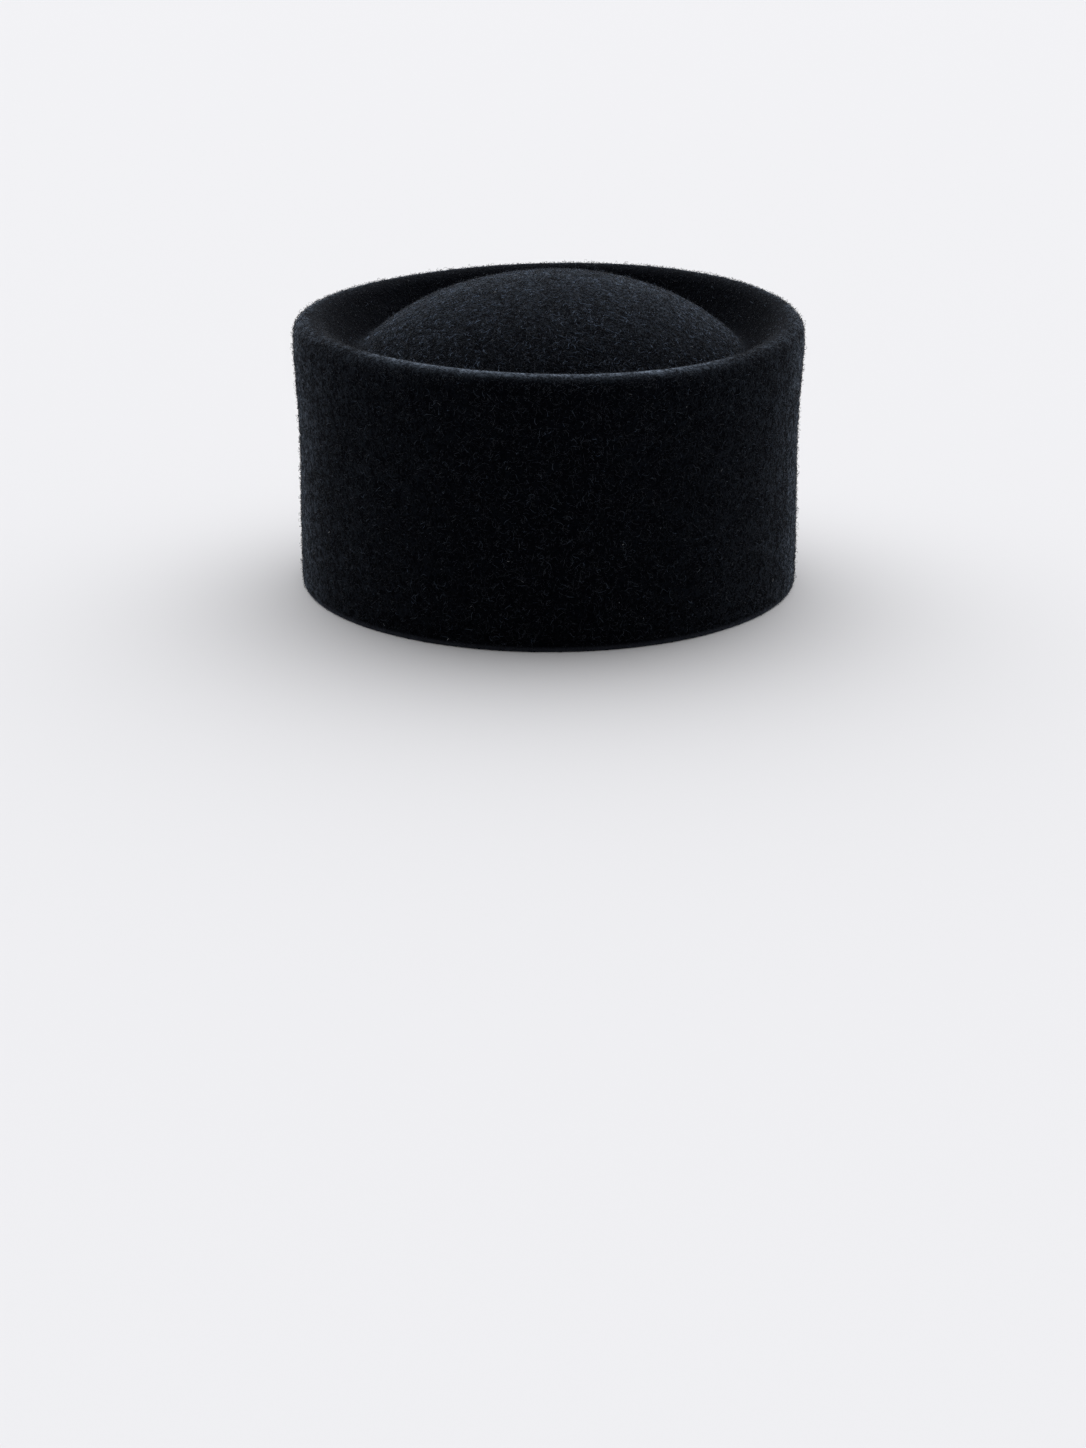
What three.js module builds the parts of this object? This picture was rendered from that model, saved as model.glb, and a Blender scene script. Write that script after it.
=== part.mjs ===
// A pillbox hat of thick black felt, blocked in one piece: a straight wall, a rounded rim, a moat inside the
// rim and a domed crown. Millimetres, +Z up, +X to the wearer's left, the front of the hat towards -Y.
// The origin is on the floor under the middle of the lower edge.
import * as THREE from 'three';
import { mergeVertices } from 'three/addons/utils/BufferGeometryUtils.js';

// Sizes of the hat
const rimHeight = 118;
const wallRadius = 111;
const rollRadius = 6;
const lipRadius = 8.8;
const lipSlope = 52;
const moatRadius = 5;
const crownRise = 16.8;
const crownRadius = 141;
const shoulderRadius = 97;
const shoulderStart = 18.5;
const crownShift = 1.4;
const rimWarp = 1.1;
const feltThickness = 2.8;
const outerEdgeRounding = 1.2;
const innerEdgeRounding = 0.5;

// How finely the round stretches are cut
const turnSteps = 72;
const cornerSteps = 3;
const wallSteps = 7;
const rollSteps = 4;
const lipSteps = 4;
const moatSteps = 4;
const shoulderSteps = 5;
const crownSteps = 4;

// Rings of the wall, from the lower edge up to where the rim starts to roll in. A height is a share of the
// wall's height and a radius is a share of wallRadius: the wall is nearly straight and flares below the rim.
const wallRings = [
  { height: 0.0, radius: 0.985 },
  { height: 0.25, radius: 0.986 },
  { height: 0.52, radius: 0.984 },
  { height: 0.76, radius: 0.991 },
  { height: 0.93, radius: 1.0 },
  { height: 1.0, radius: 1.0 },
];

const radians = THREE.MathUtils.degToRad;

// Points on an arc about (r, z), from one direction to another. Directions are in degrees from +r towards +z.
function arc(r, z, radius, from, to, steps) {
  const points = [];
  for (let i = 0; i <= steps; i++) {
    const turn = radians(from + ((to - from) * i) / steps);
    points.push(new THREE.Vector2(r + radius * Math.cos(turn), z + radius * Math.sin(turn)));
  }
  return points;
}

// The arc that rounds the moat touches the sloping lip and the shoulder of the crown. Its middle lies
// moatRadius above the slope and shoulderRadius + moatRadius from the middle of the shoulder's arc.
function moatMiddle(slopeStart, shoulderMiddle) {
  const slope = radians(lipSlope);
  const down = new THREE.Vector2(-Math.cos(slope), -Math.sin(slope));
  const up = new THREE.Vector2(-Math.sin(slope), Math.cos(slope));
  const start = slopeStart.clone().addScaledVector(up, moatRadius);
  const toStart = start.clone().sub(shoulderMiddle);
  const along = toStart.dot(down);
  const reach = shoulderRadius + moatRadius;
  const travel = -along - Math.sqrt(along * along - toStart.lengthSq() + reach * reach);
  return start.addScaledVector(down, travel);
}

// The outline of the felt's outer face, from the lower edge up the wall, over the rim, through the moat and
// up to the middle of the crown, as (radius, height).
function outerOutline() {
  const rollHeight = rimHeight - rollRadius;
  const crestRadius = wallRadius - rollRadius;
  const rings = wallRings.map((ring) => new THREE.Vector3(ring.radius * wallRadius, ring.height * rollHeight, 0));
  const wall = new THREE.CatmullRomCurve3(rings).getPoints(wallSteps);
  wall.shift();
  wall.pop();

  const roll = arc(crestRadius, rollHeight, rollRadius, 0, 90, rollSteps);
  const lip = arc(crestRadius, rimHeight - lipRadius, lipRadius, 90, 90 + lipSlope, lipSteps);
  lip.shift();

  // The crown is a wide arc over its top and a tighter one down its shoulder. Where they meet, both lie at
  // shoulderStart degrees from straight up.
  const crownMiddle = new THREE.Vector2(0, rimHeight + crownRise - crownRadius);
  const meeting = 90 - shoulderStart;
  const apart = crownRadius - shoulderRadius;
  const shoulderMiddle = arc(crownMiddle.x, crownMiddle.y, apart, meeting, meeting, 1)[0];
  const moat = moatMiddle(lip[lip.length - 1], shoulderMiddle);
  const toShoulder = shoulderMiddle.clone().sub(moat);
  const touch = THREE.MathUtils.radToDeg(Math.atan2(toShoulder.y, toShoulder.x));
  const fromLip = lipSlope - 90;
  const bottom = arc(moat.x, moat.y, moatRadius, fromLip, touch < 0 ? touch : touch - 360, moatSteps);
  const shoulder = arc(shoulderMiddle.x, shoulderMiddle.y, shoulderRadius, touch + 180, meeting, shoulderSteps);
  shoulder.shift();
  const crown = arc(crownMiddle.x, crownMiddle.y, crownRadius, meeting, 90, crownSteps);
  crown.shift();
  crown[crown.length - 1].x = 0;

  const wallPoints = wall.map((p) => new THREE.Vector2(p.x, p.y));
  return [...wallPoints, ...roll, ...lip, ...bottom, ...shoulder, ...crown];
}

// The outline of the inner face: each point of the outer one moved into the felt by its thickness.
function innerOutline(outer) {
  const moved = outer.map((point, i) => {
    const along = outer[Math.min(i + 1, outer.length - 1)].clone().sub(outer[Math.max(i - 1, 0)]).normalize();
    return new THREE.Vector2(point.x - along.y * feltThickness, point.y + along.x * feltThickness);
  });
  const top = outer[outer.length - 1];
  moved[moved.length - 1].set(0, top.y - feltThickness);
  return moved;
}

// The lower edge of the felt: flat where the hat rests, rounded on both sides.
function lowerEdge() {
  const outside = wallRings[0].radius * wallRadius;
  const inside = outside - feltThickness;
  const inner = arc(inside + innerEdgeRounding, innerEdgeRounding, innerEdgeRounding, 180, 270, cornerSteps);
  const outer = arc(outside - outerEdgeRounding, outerEdgeRounding, outerEdgeRounding, -90, 0, cornerSteps);
  return [...inner, ...outer];
}

// The rim isn't quite level: a quarter turn apart, it is bent up and down by rimWarp, highest at the back on
// the +X side. The lower edge stays flat. The crown sits a little towards +X of the rim.
function shapeByHand(point) {
  const crestRadius = wallRadius - rollRadius;
  const lift = THREE.MathUtils.clamp(point.z / rimHeight, 0, 1) ** 2;
  const reach = Math.hypot(point.x, point.y);
  const inMoat = 1 - THREE.MathUtils.smoothstep(reach, crestRadius - 2 * lipRadius, crestRadius);
  point.z += (2 * rimWarp * lift * point.x * point.y) / crestRadius ** 2;
  point.x += crownShift * inMoat * lift;
}

function feltBody() {
  const outer = outerOutline();
  const inner = innerOutline(outer);
  inner.reverse();
  const outline = [...inner, ...lowerEdge(), ...outer];
  const turned = new THREE.LatheGeometry(outline, turnSteps);
  turned.rotateX(Math.PI / 2);
  turned.deleteAttribute('normal');
  turned.deleteAttribute('uv');
  const geometry = mergeVertices(turned, 1e-4);

  const places = geometry.getAttribute('position');
  const point = new THREE.Vector3();
  for (let i = 0; i < places.count; i++) {
    point.fromBufferAttribute(places, i);
    shapeByHand(point);
    places.setXYZ(i, point.x, point.y, point.z);
  }
  geometry.computeVertexNormals();
  return geometry;
}

const blackFelt = new THREE.MeshStandardMaterial({ color: 0x14161a, roughness: 1.0, metalness: 0.0 });

const hat = new THREE.Group();
const body = new THREE.Mesh(feltBody(), blackFelt);
body.name = 'felt_body';
hat.add(body);

export default hat;
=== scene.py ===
# %% [markdown]
# # A pillbox hat of blocked wool felt
#
# The hat is one piece of black wool felt. A hatter steams a felt hood, pulls it over a wooden block and
# lets it dry there, so the wall, the rounded rim, the moat inside the rim and the domed crown run into
# each other without a seam. The looks come from three things: the soft form, the matted surface of the
# felt, and the fine curly fibres that stand off it and catch the light along every edge.
#
# The first cell loads the measured model of the hat.

# %% Load the measured hat
import bpy
import math
import numpy as np
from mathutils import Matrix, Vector, noise


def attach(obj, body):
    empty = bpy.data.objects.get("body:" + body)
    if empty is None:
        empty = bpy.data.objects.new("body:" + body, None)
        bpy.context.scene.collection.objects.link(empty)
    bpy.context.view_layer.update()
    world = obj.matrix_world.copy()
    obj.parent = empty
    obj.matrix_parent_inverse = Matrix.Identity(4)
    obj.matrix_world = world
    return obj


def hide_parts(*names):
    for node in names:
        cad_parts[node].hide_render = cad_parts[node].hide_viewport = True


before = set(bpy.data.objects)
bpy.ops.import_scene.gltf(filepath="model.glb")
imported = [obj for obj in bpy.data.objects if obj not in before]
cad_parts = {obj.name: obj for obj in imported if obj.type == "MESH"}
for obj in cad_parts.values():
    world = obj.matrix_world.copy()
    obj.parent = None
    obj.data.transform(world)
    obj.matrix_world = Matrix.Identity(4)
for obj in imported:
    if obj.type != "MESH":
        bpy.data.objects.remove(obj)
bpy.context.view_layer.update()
MM = 0.001

# %% [markdown]
# ## The camera
#
# The hat is seen from the front and a little above, from about a metre and a half away. A long lens there
# keeps the round rim a calm, narrow ellipse. The camera's distance, height and tilt set how open that
# ellipse is, so they come first and everything else is judged through them.

# %% Camera
CAMERA_DISTANCE = 1493.7 * MM
CAMERA_HEIGHT = 468.6 * MM
CAMERA_SIDE = -2.5 * MM
CAMERA_TILT = 19.87
LENS_MM = 87.0
SENSOR_MM = 36.0

camera = bpy.data.objects.new("camera", bpy.data.cameras.new("camera"))
camera.data.sensor_width = SENSOR_MM
camera.data.lens = LENS_MM
camera.location = (CAMERA_SIDE, -CAMERA_DISTANCE, CAMERA_HEIGHT)
camera.rotation_euler = (math.radians(90 - CAMERA_TILT), 0, 0)
bpy.context.scene.collection.objects.link(camera)
bpy.context.scene.camera = camera
print("camera", tuple(round(v, 3) for v in camera.location), "lens", LENS_MM, "mm")

# %% [markdown]
# ## Helpers for colours and nodes
#
# Colours are picked as the eye sees them, in sRGB hex, and Blender mixes them as linear light, so one
# function turns the first into the second. Every material here is a small tree of nodes. One function adds
# a node, sets its values and joins its inputs. Three more add the kinds that come up again and again: a sum,
# a stretch from one range of values to another, and a mix of two colours. They keep each tree readable.

# %% Colour and node helpers
def linear(hex_colour):
    """An sRGB hex colour as linear red, green, blue and alpha, by the curve of the sRGB standard."""
    channels = [int(hex_colour[i : i + 2], 16) / 255 for i in (1, 3, 5)]
    return [c / 12.92 if c <= 0.04045 else ((c + 0.055) / 1.055) ** 2.4 for c in channels] + [1.0]


def add_node(tree, kind, inputs=None, **settings):
    """Adds a node. A value in inputs is set on its socket, and another node's output is joined to it."""
    node = tree.nodes.new("ShaderNode" + kind)
    for name, value in settings.items():
        setattr(node, name, value)
    for name, value in (inputs or {}).items():
        if isinstance(value, bpy.types.NodeSocket):
            tree.links.new(value, node.inputs[name])
        else:
            node.inputs[name].default_value = value
    return node


def calc(tree, operation, *values):
    """The result of one sum, as a Math node does it."""
    return add_node(tree, "Math", dict(enumerate(values)), operation=operation).outputs[0]


def ramp(tree, value, start, end, low=0.0, high=1.0, **settings):
    """A value stretched: low where it is start, high where it is end, and level beyond both."""
    inputs = {"Value": value, "From Min": start, "From Max": end, "To Min": low, "To Max": high}
    return add_node(tree, "MapRange", inputs, **settings).outputs[0]


def mixed(tree, factor, first, second):
    """Two colours mixed: all of the first where factor is 0, and all of the second where it is 1."""
    inputs = {"Factor": factor, "A": first, "B": second}
    return add_node(tree, "Mix", inputs, data_type="RGBA").outputs["Result"]


def new_material(name):
    """An empty material with its node tree."""
    material = bpy.data.materials.new(name)
    material.use_nodes = True
    material.node_tree.nodes.clear()
    return material, material.node_tree


# %% [markdown]
# ## The studio
#
# The hat stands on a pale, seamless floor that fills the picture. Black felt shows its form only through
# the light that grazes it, so the light comes from behind and above the hat, and the side behind the camera
# is nearly dark: the edges glow softly and the front of the wall sinks to black.

# %% Floor
FLOOR_SIZE = 14.0
FLOOR_WHITE = "#cacacb"

bpy.ops.mesh.primitive_plane_add(size=FLOOR_SIZE, location=(0, 0, 0))
floor = bpy.context.object
floor.name = "floor"
floor_paper, tree = new_material("seamless_paper_matte")
paper = add_node(
    tree, "BsdfPrincipled",
    {"Base Color": linear(FLOOR_WHITE), "Roughness": 0.9, "Specular IOR Level": 0.1},
)
add_node(tree, "OutputMaterial", {"Surface": paper.outputs["BSDF"]})
floor.data.materials.append(floor_paper)

# %% [markdown]
# A world whose brightness depends on direction lights the hat with no visible lamp. It is the sum of three
# wide soft lights: a strong one high up behind the hat, and a weak one a little behind each side, the right
# one stronger, as on the real hat. Lamps would do too, but would show in a low view. What the camera sees of
# the world beyond the floor stays evenly pale.

# %% Light from the room
# Each light: degrees round from the camera's side, degrees up, and how bright it is
LIGHTS = {
    "left": {"turn": -110, "height": 32, "bright": 0.2},
    "right": {"turn": 110, "height": 32, "bright": 0.38},
    "back": {"turn": 180, "height": 50, "bright": 2.8},
}
# A light fades in between these cosines of the angle from its middle
FADE_FROM, FADE_TO = 0.2, 1.0
ROOM_DARK = 0.02
ROOM_COLOUR = "#f9f9fb"
BACKDROP = "#f1f1f3"


def soft_light(tree, direction, turn, height, bright):
    """A wide soft light of the world, turn degrees round from the camera's side and height degrees up."""
    turn, height = math.radians(turn), math.radians(height)
    middle = (math.cos(height) * math.sin(turn), -math.cos(height) * math.cos(turn), math.sin(height))
    towards = add_node(tree, "VectorMath", {0: direction, 1: middle}, operation="DOT_PRODUCT")
    return ramp(
        tree, towards.outputs["Value"], FADE_FROM, FADE_TO, 0.0, bright, interpolation_type="SMOOTHSTEP",
    )


world = bpy.data.worlds.new("studio")
bpy.context.scene.world = world
world.use_nodes = True
tree = world.node_tree
tree.nodes.clear()
direction = add_node(tree, "TexCoord").outputs["Generated"]
brightness = 0.0
for light in LIGHTS.values():
    brightness = calc(tree, "ADD", brightness, soft_light(tree, direction, **light))
brightness = calc(tree, "ADD", brightness, ROOM_DARK)
room = add_node(tree, "Background", {"Color": linear(ROOM_COLOUR), "Strength": brightness})
seen = add_node(tree, "Background", {"Color": linear(BACKDROP), "Strength": 1.0})
from_camera = add_node(tree, "LightPath").outputs["Is Camera Ray"]
both = add_node(tree, "MixShader", {0: from_camera, 1: room.outputs[0], 2: seen.outputs[0]})
add_node(tree, "OutputWorld", {"Surface": both.outputs[0]})
bpy.context.scene.view_settings.view_transform = "Standard"
print("lights:", {name: light["bright"] for name, light in LIGHTS.items()})

# %% [markdown]
# Felt is all fine grain. The denoiser would take that for noise and smooth it away if it first smoothed the
# colours and normals that guide it, so it is told to use them as they are.

# %% Keep the grain
bpy.context.scene.cycles.denoising_prefilter = "NONE"

# %% [markdown]
# ## The form of the felt
#
# The hat is nearly round, so one outline turned about the upright axis gives all of it: down the inside of
# the crown and wall, round the cut lower edge, up the outside, over the rim, through the moat and up to
# the top. A lathe is the natural tool. The outline is made of the same arcs as the measured solid, cut
# much finer, so the edges stay smooth against the pale floor.

# %% Outline of the felt
RIM_HEIGHT = 118.0
WALL_RADIUS = 111.0
ROLL_RADIUS = 6.0
LIP_RADIUS = 8.8
LIP_SLOPE = 52.0
MOAT_RADIUS = 5.0
CROWN_RISE = 16.8
CROWN_RADIUS = 141.0
SHOULDER_RADIUS = 97.0
SHOULDER_START = 18.5
CROWN_SHIFT = 1.4
RIM_WARP = 1.1
FELT_THICKNESS = 2.8
EDGE_ROUNDING = 1.2
INNER_EDGE_ROUNDING = 0.5
CREST_RADIUS = WALL_RADIUS - ROLL_RADIUS

# Rings of the wall from the lower edge up: shares of the wall's height and of WALL_RADIUS
WALL_RINGS = [
    {"height": 0.0, "radius": 0.985},
    {"height": 0.25, "radius": 0.986},
    {"height": 0.52, "radius": 0.984},
    {"height": 0.76, "radius": 0.991},
    {"height": 0.93, "radius": 1.0},
    {"height": 1.0, "radius": 1.0},
]

# How finely each stretch of the outline is cut
WALL_STEPS = 44
ROLL_STEPS = 12
LIP_STEPS = 10
SLOPE_STEPS = 4
MOAT_STEPS = 12
SHOULDER_STEPS = 26
CROWN_STEPS = 20


def arc(r, z, radius, start, end, steps):
    """Points on an arc about (r, z), between two directions in degrees from +r towards +z."""
    turn = np.radians(np.linspace(start, end, steps + 1))
    return np.stack([r + radius * np.cos(turn), z + radius * np.sin(turn)], axis=1)


def smooth_through(points, steps):
    """A smooth curve through the points: Catmull-Rom, with the line carried straight on past both ends."""
    p = np.vstack([2 * points[0] - points[1], points, 2 * points[-1] - points[-2]])
    along = np.linspace(0, len(points) - 1, steps + 1)
    i = np.minimum(along.astype(int), len(points) - 2)
    t = (along - i)[:, None]
    a, b, c, d = p[i], p[i + 1], p[i + 2], p[i + 3]
    return 0.5 * (2 * b + (c - a) * t + (2 * a - 5 * b + 4 * c - d) * t**2 + (3 * b - a - 3 * c + d) * t**3)


def outer_outline():
    """The outer face from the lower edge to the top of the crown, as named runs of (radius, height)."""
    roll_height = RIM_HEIGHT - ROLL_RADIUS
    rings = np.array([[ring["radius"] * WALL_RADIUS, ring["height"] * roll_height] for ring in WALL_RINGS])
    wall = smooth_through(rings, WALL_STEPS)[1:-1]
    roll = arc(CREST_RADIUS, roll_height, ROLL_RADIUS, 0, 90, ROLL_STEPS)
    lip = arc(CREST_RADIUS, RIM_HEIGHT - LIP_RADIUS, LIP_RADIUS, 90, 90 + LIP_SLOPE, LIP_STEPS)[1:]

    # The crown is a wide arc over its top and a tighter one down its shoulder
    crown_middle = np.array([0.0, RIM_HEIGHT + CROWN_RISE - CROWN_RADIUS])
    meeting = 90 - SHOULDER_START
    shoulder_middle = arc(*crown_middle, CROWN_RADIUS - SHOULDER_RADIUS, meeting, meeting, 1)[0]

    # The arc in the moat touches the slope inside the rim and the shoulder, so its middle lies MOAT_RADIUS
    # above the slope, and as far from the middle of the shoulder's arc as both radii together
    slope = math.radians(LIP_SLOPE)
    down = np.array([-math.cos(slope), -math.sin(slope)])
    up = np.array([-math.sin(slope), math.cos(slope)])
    start = lip[-1] + up * MOAT_RADIUS - shoulder_middle
    along = start @ down
    travel = -along - math.sqrt(along**2 - start @ start + (SHOULDER_RADIUS + MOAT_RADIUS) ** 2)
    moat_middle = start + down * travel + shoulder_middle
    slope_run = lip[-1] + down * np.linspace(0, travel, SLOPE_STEPS + 1)[1:-1, None]
    touch = math.degrees(math.atan2(*(shoulder_middle - moat_middle)[::-1]))
    moat = arc(*moat_middle, MOAT_RADIUS, LIP_SLOPE - 90, touch, MOAT_STEPS)
    shoulder = arc(*shoulder_middle, SHOULDER_RADIUS, touch + 180, meeting, SHOULDER_STEPS)[1:]
    crown = arc(*crown_middle, CROWN_RADIUS, meeting, 90, CROWN_STEPS)[1:]
    crown[-1, 0] = 0.0
    return {
        "wall": wall,
        "rim": roll,
        "lip": lip,
        "moat": np.vstack([slope_run, moat]),
        "crown": np.vstack([shoulder, crown]),
    }


outer = outer_outline()
print("outer outline:", {name: len(points) for name, points in outer.items()}, "points")

# %% [markdown]
# The inner face is the outer one moved into the felt by its thickness, and the cut edge joins them. The
# inside is hidden, so it keeps only every other point. Each point keeps the name of its run, so that later
# the fibres can be told where to grow.

# %% Whole outline
INNER_EDGE_STEPS = 4
OUTER_EDGE_STEPS = 6
INSIDE_KEEPS_EVERY = 2


def moved_inwards(points, distance):
    """The points moved square to the line through them, to its left. The last one stays on the axis."""
    along = np.gradient(points, axis=0)
    along /= np.linalg.norm(along, axis=1)[:, None]
    moved = points + np.stack([-along[:, 1], along[:, 0]], axis=1) * distance
    moved[-1] = (0.0, points[-1, 1] - distance)
    return moved


def edge_corner(radius, rounding, start, end, steps):
    """A rounded corner of the lower edge. The middle of its arc is at this radius."""
    return arc(radius, rounding, rounding, start, end, steps)


outside = WALL_RINGS[0]["radius"] * WALL_RADIUS
inside = outside - FELT_THICKNESS
inner_corner = edge_corner(inside + INNER_EDGE_ROUNDING, INNER_EDGE_ROUNDING, 180, 270, INNER_EDGE_STEPS)
outer_corner = edge_corner(outside - EDGE_ROUNDING, EDGE_ROUNDING, -90, 0, OUTER_EDGE_STEPS)
inner_face = moved_inwards(np.vstack(list(outer.values())), FELT_THICKNESS)[::-1]
runs = {
    "inside": inner_face[::INSIDE_KEEPS_EVERY],
    "edge": np.vstack([inner_corner, outer_corner]),
    **outer,
}
outline = np.vstack(list(runs.values()))
run_of_row = [name for name, points in runs.items() for _ in points]
print("whole outline:", len(outline), "points")

# %% [markdown]
# ## Turning the outline
#
# The outline is turned in 320 steps. Then two small faults of the real hat go in, the same as in the
# measured solid: the rim is bent up and down by a millimetre, and the crown sits slightly to one side.
# Felt shaped by hand is never perfectly even, so a slow wave of a few tenths of a millimetre is added on
# top, fading out at the flat lower edge.

# %% Turn and shape by hand
TURN_STEPS = 320
UNEVEN_MM = 0.35
UNEVEN_WAVE_MM = 42.0
# The wave is full from this height up
UNEVEN_FROM_MM = 12.0
# This near the axis there is no clear way outwards, so the wave moves the felt sideways less and less
NEAR_AXIS_MM = 1.0


def shaped_by_hand(points):
    """Adds the warp of the rim, the shift of the crown and the slow unevenness to points in millimetres."""
    x, y, z = points[..., 0], points[..., 1], points[..., 2]
    reach = np.hypot(x, y)
    lift = np.clip(z / RIM_HEIGHT, 0, 1) ** 2
    fade = np.clip((reach - (CREST_RADIUS - 2 * LIP_RADIUS)) / (2 * LIP_RADIUS), 0, 1)
    within_rim = 1 - fade * fade * (3 - 2 * fade)
    waves = np.array([
        noise.noise(Vector(p) / UNEVEN_WAVE_MM) for p in points.reshape(-1, 3)
    ]).reshape(x.shape)
    swell = UNEVEN_MM * waves * np.clip(z / UNEVEN_FROM_MM, 0, 1)
    outwards = np.maximum(reach, NEAR_AXIS_MM)
    moved_x = x + CROWN_SHIFT * within_rim * lift + swell * x / outwards
    moved_y = y + swell * y / outwards
    moved_z = z + 2 * RIM_WARP * lift * x * y / CREST_RADIUS**2 + swell * within_rim
    return np.stack([moved_x, moved_y, moved_z], axis=-1)


angles = np.arange(TURN_STEPS) * 2 * math.pi / TURN_STEPS
rings = np.stack([
    outline[:, :1] * np.cos(angles),
    outline[:, :1] * np.sin(angles),
    np.repeat(outline[:, 1:], TURN_STEPS, axis=1),
], axis=-1)
rings = shaped_by_hand(rings) * MM
print("felt grid:", rings.shape[0], "rings of", rings.shape[1])

# %% [markdown]
# The grid of points becomes a closed mesh: a square face between each pair of neighbours, and a fan of
# triangles at each end, where the outline meets the axis.

# %% Felt mesh
def mesh_from_arrays(name, points, faces):
    """A smooth-shaded mesh object from an array of points and a list of equal-sided face arrays."""
    mesh = bpy.data.meshes.new(name)
    corners = np.concatenate([f.ravel() for f in faces]).astype(np.int32)
    sizes = np.concatenate([np.full(len(f), f.shape[1]) for f in faces])
    mesh.vertices.add(len(points))
    mesh.vertices.foreach_set("co", points.astype(np.float32).ravel())
    mesh.loops.add(len(corners))
    mesh.loops.foreach_set("vertex_index", corners)
    mesh.polygons.add(len(sizes))
    mesh.polygons.foreach_set("loop_start", (np.cumsum(sizes) - sizes).astype(np.int32))
    mesh.polygons.foreach_set("use_smooth", np.ones(len(sizes), bool))
    mesh.update(calc_edges=True)
    mesh.validate()
    made = bpy.data.objects.new(name, mesh)
    bpy.context.scene.collection.objects.link(made)
    return made


def triangle_count(piece):
    """How many triangles a mesh object has."""
    return sum(len(p.vertices) - 2 for p in piece.data.polygons)


grid = rings[1:-1]
row, column = np.meshgrid(np.arange(len(grid) - 1), np.arange(TURN_STEPS), indexing="ij")
here, beside = row * TURN_STEPS + column, row * TURN_STEPS + (column + 1) % TURN_STEPS
squares = np.stack([here, beside, beside + TURN_STEPS, here + TURN_STEPS], axis=-1).reshape(-1, 4)
inner_top, outer_top = len(grid) * TURN_STEPS, len(grid) * TURN_STEPS + 1
around = np.arange(TURN_STEPS)
next_round = (around + 1) % TURN_STEPS
end_row = (len(grid) - 1) * TURN_STEPS
inner_fan = np.stack([np.full(TURN_STEPS, inner_top), next_round, around], axis=-1)
outer_fan = np.stack([np.full(TURN_STEPS, outer_top), end_row + around, end_row + next_round], axis=-1)
points = np.vstack([grid.reshape(-1, 3), rings[0, :1], rings[-1, :1]])
felt_shell = mesh_from_arrays("felt_shell", points, [squares, inner_fan, outer_fan])
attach(felt_shell, "root")
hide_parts("felt_body")
print("felt shell:", triangle_count(felt_shell), "triangles")

# %% [markdown]
# ## Black wool felt
#
# Felt is wool that was matted wet under pressure. It has no weave: short curled fibres lie across each
# other in every direction. Seen square on it takes nearly all light. Seen at a slant, the eye meets more and
# more of the fine nap that stands off it, so a grey haze grows towards every edge. Sheen alone could draw
# that, but it asks for light that comes from low behind the edge. Nap is lit from everywhere, so most of
# the haze is painted sheen: a paler colour that Layer Weight lets into the base colour at a slant, and a
# little real sheen is kept on top.
#
# The haze isn't the same all over. Along the crest of the rim, most at the front, a painted highlight
# makes a fine line of light, evener than the tufts of the rest. Down the foot of the crown and in the moat
# the haze is cut back, a painted shade, so the moat stays dark.
#
# The curls are drawn as thin lines where a noise passes through its middle value, broken up by a second
# noise. That costs little, works on any curved face and has no seam. Three sets of curls overlap, tufts and
# a fine grain roughen the mat between them, and slow clouds stand for the uneven brushing. The same height
# shapes the relief and thins or thickens the haze, so the nap looks tufted. A wool fibre is 0.03 mm thick.
# The lines are drawn about twenty times as thick, like small strands of fibres, so that they show.

# %% Felt material
CURL_MM = 3.4
TUFT_MM = 2.2
GRAIN_MM = 0.9
GRAIN_WEIGHT = 1.5
CLOUD_MM = 16.0
RELIEF_MM = 0.4
FELT_BLACK = "#020307"
FELT_FIBRE = "#05080e"
FELT_EDGE_LIGHT = "#3c3f47"
FELT_NAP_SHEEN = "#636d7a"
FELT_SHEEN = "#c9d4e6"

# The sets of curls: how far apart the lines are, a shift in metres that sets them apart from the other sets,
# and how far off its middle value the noise still draws them
CURLS = [
    {"size_mm": CURL_MM, "shift": (0.0, 0.0, 0.0), "width": 0.09},
    {"size_mm": 0.8 * CURL_MM, "shift": (0.31, 0.17, 0.23), "width": 0.09},
    {"size_mm": 1.2 * CURL_MM, "shift": (0.12, 0.43, 0.08), "width": 0.06},
]
NOISE_MIDDLE = 0.5
CURL_DISTORTION = 1.4
# The noise that breaks the lines: the size of its lumps beside theirs, and where lines begin and are whole
PATCH_SIZE = 1.3
PATCH_FROM_TO = (0.36, 0.5)

# The haze, a painted sheen: how fast it grows towards an edge, how much of the pale nap colour it lets in
# there, and how much more of it grows evenly with the slant
HAZE_POWER = 5.5
HAZE_SHARE = 0.6
NAP_SHARE = 0.055

# How a value thins or thickens the nap and its painted sheen, as the value's start and end and what it comes
# to at each: the clouds of brushing, the height of the tufts, and the height on the rim, where the painted
# highlight is evener
BRUSHED = (0.3, 0.7, 0.6, 1.0)
TUFTED = (1.4, 1.95, 0.0, 3.15)
RIM_TUFTED = (1.2, 2.2, 0.6, 2.4)

# The lower edge is paler, painted light from below: the heights in millimetres where that starts and where
# it is full
EDGE_LIGHT_FROM_TO = (2.6, 0.4)

# Where the haze is cut back as painted shade, and where the rim's painted highlight lies, in millimetres,
# and by how much. A band has four radii: it starts, is full, stops being full and ends
MOAT_SHADE_BAND = (68.0, 88.0, 103.0, 107.0)
MOAT_SHADE = 0.95
RIM_BAND = (CREST_RADIUS - 9, CREST_RADIUS - 3, CREST_RADIUS + 3, CREST_RADIUS + 9)
RIM_HEIGHTS = (RIM_HEIGHT - 7, RIM_HEIGHT - 2)
RIM_BACK_TO_FRONT = (-68, -102)
RIM_HIGHLIGHT_BACK = 0.03
RIM_HIGHLIGHT_FRONT = 1.1
RIM_HAZE_POWER = 2.0
RIM_MOST = 0.42


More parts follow.
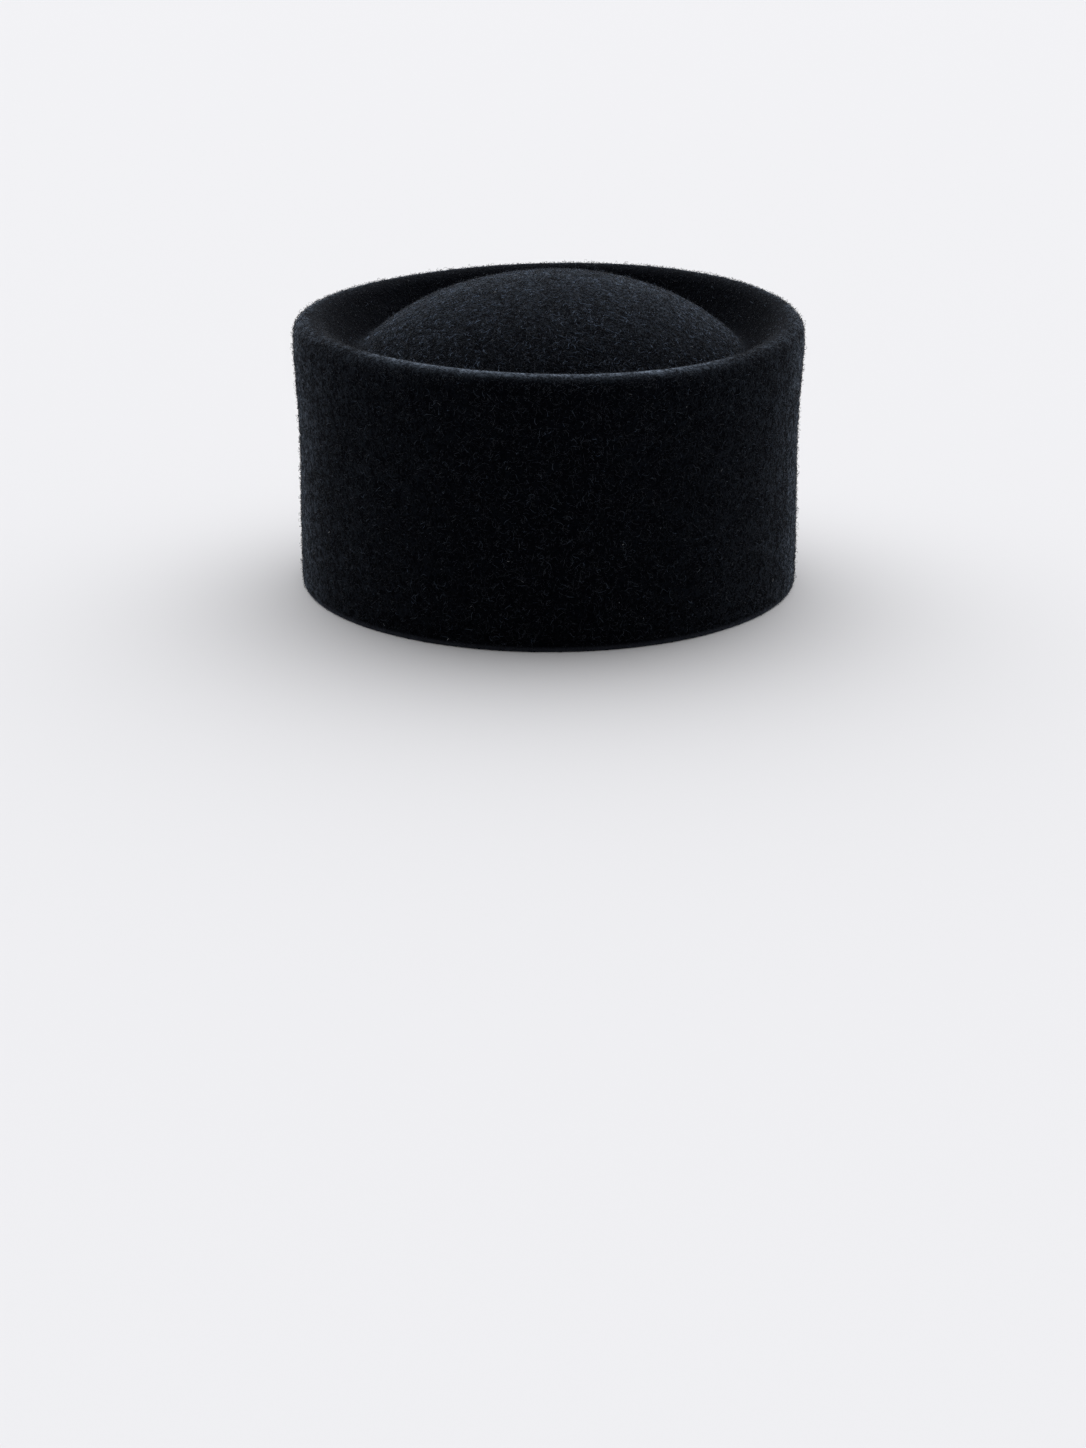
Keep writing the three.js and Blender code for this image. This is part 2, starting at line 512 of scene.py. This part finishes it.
def noise_of(tree, place, size_mm, detail, distortion=0.0):
    """A noise with lumps of about size_mm, as a value from 0 to 1."""
    inputs = {"Vector": place, "Scale": 1 / (size_mm * MM), "Detail": detail, "Distortion": distortion}
    return add_node(tree, "TexNoise", inputs).outputs[0]


def ramp_mm(tree, value, start, end, low=0.0, high=1.0):
    """The same as ramp, with start and end in millimetres."""
    return ramp(tree, value, start * MM, end * MM, low, high)


def curls(tree, place, size_mm, shift, width):
    """Curly lines about size_mm apart, as a value from 0 to 1 that is highest along their middles."""
    moved = add_node(tree, "VectorMath", {0: place, 1: shift}, operation="ADD").outputs[0]
    field = noise_of(tree, moved, size_mm, 0.0, CURL_DISTORTION)
    distance = calc(tree, "ABSOLUTE", calc(tree, "SUBTRACT", field, NOISE_MIDDLE))
    line = ramp(tree, distance, 0.0, width, 1.0, 0.0)
    patches = noise_of(tree, moved, PATCH_SIZE * size_mm, 0.0)
    return calc(tree, "MULTIPLY", line, ramp(tree, patches, *PATCH_FROM_TO))


def ring_band(tree, place, start, full, full_end, end):
    """A band round the hat: 0 at the radius start, 1 from full to full_end and 0 again at end, all in mm."""
    flat = add_node(tree, "VectorMath", {0: place, 1: (1, 1, 0)}, operation="MULTIPLY").outputs[0]
    reach = add_node(tree, "VectorMath", {0: flat}, operation="LENGTH").outputs["Value"]
    return calc(tree, "MINIMUM", ramp_mm(tree, reach, start, full), ramp_mm(tree, reach, end, full_end))


def rim_highlight_band(tree, place, y, z):
    """How much painted highlight the rim gets: a band on its crest, strongest at the front."""
    near = ring_band(tree, place, *RIM_BAND)
    high = ramp_mm(tree, z, *RIM_HEIGHTS)
    front = ramp_mm(tree, y, *RIM_BACK_TO_FRONT, RIM_HIGHLIGHT_BACK, RIM_HIGHLIGHT_FRONT)
    return calc(tree, "MULTIPLY", calc(tree, "MULTIPLY", near, high), front)


def felt_material():
    """Black wool felt, fulled, blocked and lightly brushed: a dull black with curled paler fibres."""
    material, tree = new_material("wool_felt_blocked")
    place = add_node(tree, "TexCoord").outputs["Object"]
    axes = add_node(tree, "SeparateXYZ", {"Vector": place}).outputs

    # The matted surface: curls on top of tufts and grain
    fibres = 0.0
    for curl in CURLS:
        fibres = calc(tree, "MAXIMUM", fibres, curls(tree, place, **curl))
    tufts = noise_of(tree, place, TUFT_MM, 1.0)
    grain = noise_of(tree, place, GRAIN_MM, 1.0)
    mat = calc(tree, "MULTIPLY_ADD", grain, GRAIN_WEIGHT, tufts)
    height = calc(tree, "ADD", fibres, mat)
    relief = add_node(tree, "Bump", {"Height": height, "Strength": 0.9, "Distance": RELIEF_MM * MM})

    # The felt under the nap: black, a little paler along the curls, and grey at the lower edge, painted
    # light from below
    brushed = ramp(tree, noise_of(tree, place, CLOUD_MM, 3.0), *BRUSHED)
    ground = mixed(tree, calc(tree, "MULTIPLY", fibres, brushed), linear(FELT_BLACK), linear(FELT_FIBRE))
    ground = mixed(tree, ramp_mm(tree, axes["Z"], *EDGE_LIGHT_FROM_TO), ground, linear(FELT_EDGE_LIGHT))

    # The haze of nap at a slant: painted sheen, a paler colour mixed into the base colour
    slant = add_node(tree, "LayerWeight", {"Blend": 0.5}).outputs["Facing"]
    haze = calc(tree, "MULTIPLY", calc(tree, "POWER", slant, HAZE_POWER), HAZE_SHARE)
    haze = calc(tree, "MULTIPLY_ADD", slant, NAP_SHARE, haze)
    # Painted shade: the haze is cut back in the moat and down the foot of the crown
    moat_shade = calc(tree, "MULTIPLY_ADD", ring_band(tree, place, *MOAT_SHADE_BAND), -MOAT_SHADE, 1.0)
    haze = calc(tree, "MULTIPLY", haze, moat_shade)
    haze = calc(tree, "MULTIPLY", haze, brushed)

    # A painted highlight along the crest of the rim, strongest at the front
    rim_highlight = calc(tree, "POWER", slant, RIM_HAZE_POWER)
    rim_highlight = calc(tree, "MULTIPLY", rim_highlight, rim_highlight_band(tree, place, axes["Y"], axes["Z"]))
    rim_highlight = calc(tree, "MINIMUM", rim_highlight, RIM_MOST)
    rim_highlight = calc(tree, "MULTIPLY", rim_highlight, ramp(tree, height, *RIM_TUFTED))

    nap_sheen = calc(tree, "MULTIPLY_ADD", haze, ramp(tree, height, *TUFTED), rim_highlight)
    felt = add_node(
        tree, "BsdfPrincipled",
        {
            "Base Color": mixed(tree, nap_sheen, ground, linear(FELT_NAP_SHEEN)),
            "Roughness": 1.0,
            "Specular IOR Level": 0.03,
            "Sheen Weight": 0.03,
            "Sheen Roughness": 0.4,
            "Sheen Tint": linear(FELT_SHEEN),
            "Normal": relief.outputs[0],
        },
    )
    add_node(tree, "OutputMaterial", {"Surface": felt.outputs["BSDF"]})
    return material


felt_shell.data.materials.append(felt_material())
print("material", felt_shell.data.materials[0].name)

# %% [markdown]
# ## The fuzz
#
# Loose ends of wool stand off the felt. Against the pale floor they make the outline soft, and on the felt
# each one shows as a short dark or pale stroke. Blender's hair would do, but it stays hair only inside
# Blender, so each fibre is a thin closed solid: a point at each end and a ring of three corners at each
# joint between. The shortest needs six triangles, so many thousands fit in one mesh. A fibre starts on the
# felt, runs along it in a random direction, curls to one side and rises a little. The fibres are thicker
# than real wool, 0.1 to 0.26 mm, because thinner ones would vanish.
#
# The arrays below hold all fibres of a piece at once, which takes a second where a loop would take minutes.

# %% Normals and bends of the felt
TINY = 1e-12
TINY_STEP = 1e-9
# Rows at each end of the outline that the printed bend leaves out, because they lie close to the axis
END_ROWS = 5


def unit(vectors):
    """Vectors of length one."""
    return vectors / np.maximum(np.linalg.norm(vectors, axis=-1, keepdims=True), TINY)


round_way = unit(np.roll(rings, -1, axis=1) - np.roll(rings, 1, axis=1))
up_slope = np.gradient(rings, axis=0)
up_way = unit(up_slope)
felt_normals = unit(np.cross(round_way, up_way))
row_step = np.maximum(np.linalg.norm(up_slope, axis=-1), TINY_STEP)
row_bend = np.einsum("ijk,ijk->ij", np.gradient(felt_normals, axis=0), up_way) / row_step
sharpest = np.abs(row_bend[END_ROWS:-END_ROWS]).max()
print("sharpest bend of the felt:", round(1 / sharpest / MM, 1), "mm")

# %% [markdown]
# Each row of the table is one piece of fuzz: which runs of the outline it grows on, which wool it is, how
# many fibres, how many points along each, how long they are, how far they rise off the felt, how thick they
# are and how much they curl. What short fibres share, and what long curls share, stands above the table.
# Long loose curls lie on the wall and the crown, and need more points. Short fibres stand up everywhere and
# three points are enough for one. The stray hairs stand up highest and roughen the outline. The last row is
# a little pale lint: fibres that the dye missed.

# %% Fuzz table and builder
LONG_CURLS = {"joints": 5, "length_mm": (2.0, 5.0), "thick_mm": (0.14, 0.26), "curl": 2.4}
SHORT = {"joints": 3, "length_mm": (1.0, 3.0), "thick_mm": (0.10, 0.20), "curl": 1.2}
FUZZ = [
    {
        **LONG_CURLS, "name": "wall_curls", "runs": ["wall"], "wool": "deep_curl",
        "count": 6000, "rise_mm": (0.1, 0.5),
    },
    {
        **SHORT, "name": "wall_fuzz", "runs": ["wall", "edge"], "wool": "deep",
        "count": 33000, "rise_mm": (0.1, 0.8),
    },
    {
        **SHORT, "name": "rim_fuzz", "runs": ["rim"], "wool": "deep",
        "count": 6500, "length_mm": (0.8, 2.4), "rise_mm": (0.1, 0.9),
    },
    {
        **SHORT, "name": "moat_fuzz", "runs": ["lip", "moat"], "wool": "deep",
        "count": 8000, "length_mm": (0.8, 2.4), "rise_mm": (0.1, 0.6),
    },
    {
        **LONG_CURLS, "name": "crown_curls", "runs": ["crown"], "wool": "painted_lit_curl",
        "count": 5000, "rise_mm": (0.1, 0.4),
    },
    {
        **SHORT, "name": "crown_fuzz", "runs": ["crown"], "wool": "painted_lit",
        "count": 30000, "rise_mm": (0.1, 0.8),
    },
    {
        **SHORT, "name": "inside_fuzz", "runs": ["inside"], "wool": "deep",
        "count": 6000, "rise_mm": (0.1, 0.5),
    },
    {
        "name": "stray_hairs", "runs": ["wall", "rim", "lip", "moat", "crown"], "wool": "painted_lit",
        "count": 6500, "joints": 4, "length_mm": (1.0, 3.0), "rise_mm": (0.6, 1.9),
        "thick_mm": (0.10, 0.18), "curl": 1.6,
    },
    {
        "name": "pale_lint", "runs": ["wall", "rim", "crown"], "wool": "lint",
        "count": 260, "joints": 5, "length_mm": (0.5, 2.4), "rise_mm": (0.2, 0.6),
        "thick_mm": (0.16, 0.26), "curl": 2.0,
    },
]
# The spread of the small kinks at each joint, in radians
KINK = 0.25
# The share of fibres that arch and come down again, and the power by which the others rise to a free end
ARCHED_SHARE = 0.65
RISE_POWER = 1.4
# Directions of a ring's corners about its fibre, in degrees
RING_ANGLES = (90, 210, 330)


def places_on_felt(rng, names, count):
    """Random places on the named runs, even over their area: point, normal, two ways along and the bend."""
    named = np.isin(run_of_row, names)
    rows = np.flatnonzero(named[:-1] & named[1:])
    side = np.linalg.norm(rings[rows + 1] - rings[rows], axis=-1)
    width = np.linalg.norm(np.roll(rings, -1, axis=1)[rows] - rings[rows], axis=-1)
    share = (side * width).ravel()
    pick = rng.choice(share.size, count, p=share / share.sum())
    i, j = rows[pick // TURN_STEPS], pick % TURN_STEPS
    k = (j + 1) % TURN_STEPS
    s, t = rng.random((2, count, 1))

    def blended(field):
        """A field of the grid at each chosen place."""
        low = field[i, j] * (1 - t) + field[i, k] * t
        high = field[i + 1, j] * (1 - t) + field[i + 1, k] * t
        return low * (1 - s) + high * s

    normal = unit(blended(felt_normals))
    across = unit(blended(round_way))
    return blended(rings), normal, across, np.cross(normal, across), blended(row_bend[..., None])


def fuzz_spines(rng, row, start, normal, across, upward, bend):
    """The points along each fibre, from the felt to its end."""
    count, joint_count = row["count"], row["joints"]
    along = np.linspace(0, 1, joint_count)
    length = rng.uniform(*row["length_mm"], (count, 1)) * MM
    turn = rng.normal(0, row["curl"], (count, 1)) * along + rng.uniform(0, 2 * math.pi, (count, 1))
    turn += rng.normal(0, KINK, (count, joint_count))
    step = length / (joint_count - 1)
    side = np.cumsum(np.cos(turn) * step, axis=1) - np.cos(turn[:, :1]) * step
    rise_way = np.cumsum(np.sin(turn) * step, axis=1) - np.sin(turn[:, :1]) * step
    highest = rng.uniform(*row["rise_mm"], (count, 1)) * MM
    arched = rng.random((count, 1)) < ARCHED_SHARE
    height = highest * np.where(arched, np.sin(math.pi * along), along**RISE_POWER)

    # A fibre follows the bend of the felt under it, and none goes through the floor
    height = height - bend * rise_way**2 / 2
    spine = start[:, None] + side[..., None] * across[:, None] + rise_way[..., None] * upward[:, None]
    spine = spine + height[..., None] * normal[:, None]
    spine[..., 2] = np.maximum(spine[..., 2], row["thick_mm"][1] * MM / 2)
    return spine


def fuzz_faces(count, ring_count):
    """The faces of all fibres, where each fibre has its rings of corners first, then its root and tip."""
    corners = len(RING_ANGLES)
    base = (np.arange(count) * (ring_count * corners + 2))[:, None, None]
    corner = np.arange(corners)
    beside = np.roll(corner, -1)
    last_ring = (ring_count - 1) * corners
    root, tip = np.full(corners, last_ring + corners), np.full(corners, last_ring + corners + 1)
    root_faces = np.stack([root, corner, beside], axis=-1)
    tip_faces = np.stack([tip, last_ring + beside, last_ring + corner], axis=-1)
    faces = [(base + np.concatenate([root_faces, tip_faces])).reshape(-1, 3)]
    if ring_count > 1:
        joints = (np.arange(ring_count - 1) * corners)[:, None]
        a, b = joints + corner, joints + beside
        sides = np.stack([a, a + corners, b + corners, b], axis=-1).reshape(-1, 4)
        faces.append((base + sides).reshape(-1, 4))
    return faces


def fuzz_mesh(row, seed):
    """One piece of fuzz from a row of the table."""
    rng = np.random.default_rng(seed)
    count, ring_count = row["count"], row["joints"] - 2
    start, normal, across, upward, bend = places_on_felt(rng, row["runs"], count)
    spine = fuzz_spines(rng, row, start, normal, across, upward, bend)
    half_thick = rng.uniform(*row["thick_mm"], (count, 1)) * MM / 2 * np.ones(ring_count)
    forward = unit(np.gradient(spine, axis=1))
    aside = unit(np.cross(forward, normal[:, None]))
    above = np.cross(aside, forward)
    angle = np.radians(RING_ANGLES)
    ring = np.cos(angle)[:, None] * aside[:, :, None] + np.sin(angle)[:, None] * above[:, :, None]
    skin = spine[:, 1:-1, None] + ring[:, 1:-1] * half_thick[:, :, None, None]
    points = np.concatenate([skin.reshape(count, -1, 3), spine[:, [0, -1]]], axis=1)
    return mesh_from_arrays(row["name"], points.reshape(-1, 3), fuzz_faces(count, ring_count))


# %% [markdown]
# ## Wool fibre
#
# A dyed fibre is the same blue black as the felt, but it is round and smooth, so it catches a thin line of
# light along its side. Each fibre has its own tone: most are dark and few are pale, which a power of a
# random number gives. The fibres on the crown are made paler, and so are the stray hairs all over the hat:
# painted light, as the crown and the highest hairs meet the light from behind and above. The long curls
# lie on top of the rest, so more of them are pale.

# %% Fibre material and fuzz pieces
# Each wool: its material's name, its darkest and palest tone, and the power that makes pale fibres rare
# The wools of the crown and of the stray hairs are paler copies of the others: painted light from behind and
# above
WOOLS = {
    "deep": {"material": "wool_fibre_dyed", "dark": "#03050a", "pale": "#1d232e", "power": 7.0},
    "deep_curl": {"material": "wool_curl_dyed", "dark": "#03050a", "pale": "#39434f", "power": 3.0},
    "painted_lit": {
        "material": "wool_fibre_dyed_painted_lit", "dark": "#03060b", "pale": "#4e5c6f", "power": 7.0,
    },
    "painted_lit_curl": {
        "material": "wool_curl_dyed_painted_lit", "dark": "#03060b", "pale": "#66768c", "power": 3.0,
    },
    "lint": {"material": "wool_fibre_undyed", "dark": "#4a4f56", "pale": "#a9abad", "power": 7.0},
}


def fibre_material(wool):
    """Wool fibre, loose: its tone varies from fibre to fibre, and it is slightly shiny along its side."""
    material, tree = new_material(wool["material"])
    each = add_node(tree, "NewGeometry").outputs["Random Per Island"]
    paleness = calc(tree, "POWER", each, wool["power"])
    fibre = add_node(
        tree, "BsdfPrincipled",
        {
            "Base Color": mixed(tree, paleness, linear(wool["dark"]), linear(wool["pale"])),
            "Roughness": 0.7,
            "Specular IOR Level": 0.15,
            "Sheen Weight": 0.2,
            "Sheen Roughness": 0.3,
            "Sheen Tint": linear(FELT_SHEEN),
        },
    )
    add_node(tree, "OutputMaterial", {"Surface": fibre.outputs["BSDF"]})
    return material


wools = {key: fibre_material(wool) for key, wool in WOOLS.items()}
for seed, row in enumerate(FUZZ):
    fuzz = fuzz_mesh(row, seed)
    fuzz.data.materials.append(wools[row["wool"]])
    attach(fuzz, "root")
    print(row["name"], triangle_count(fuzz), "triangles")
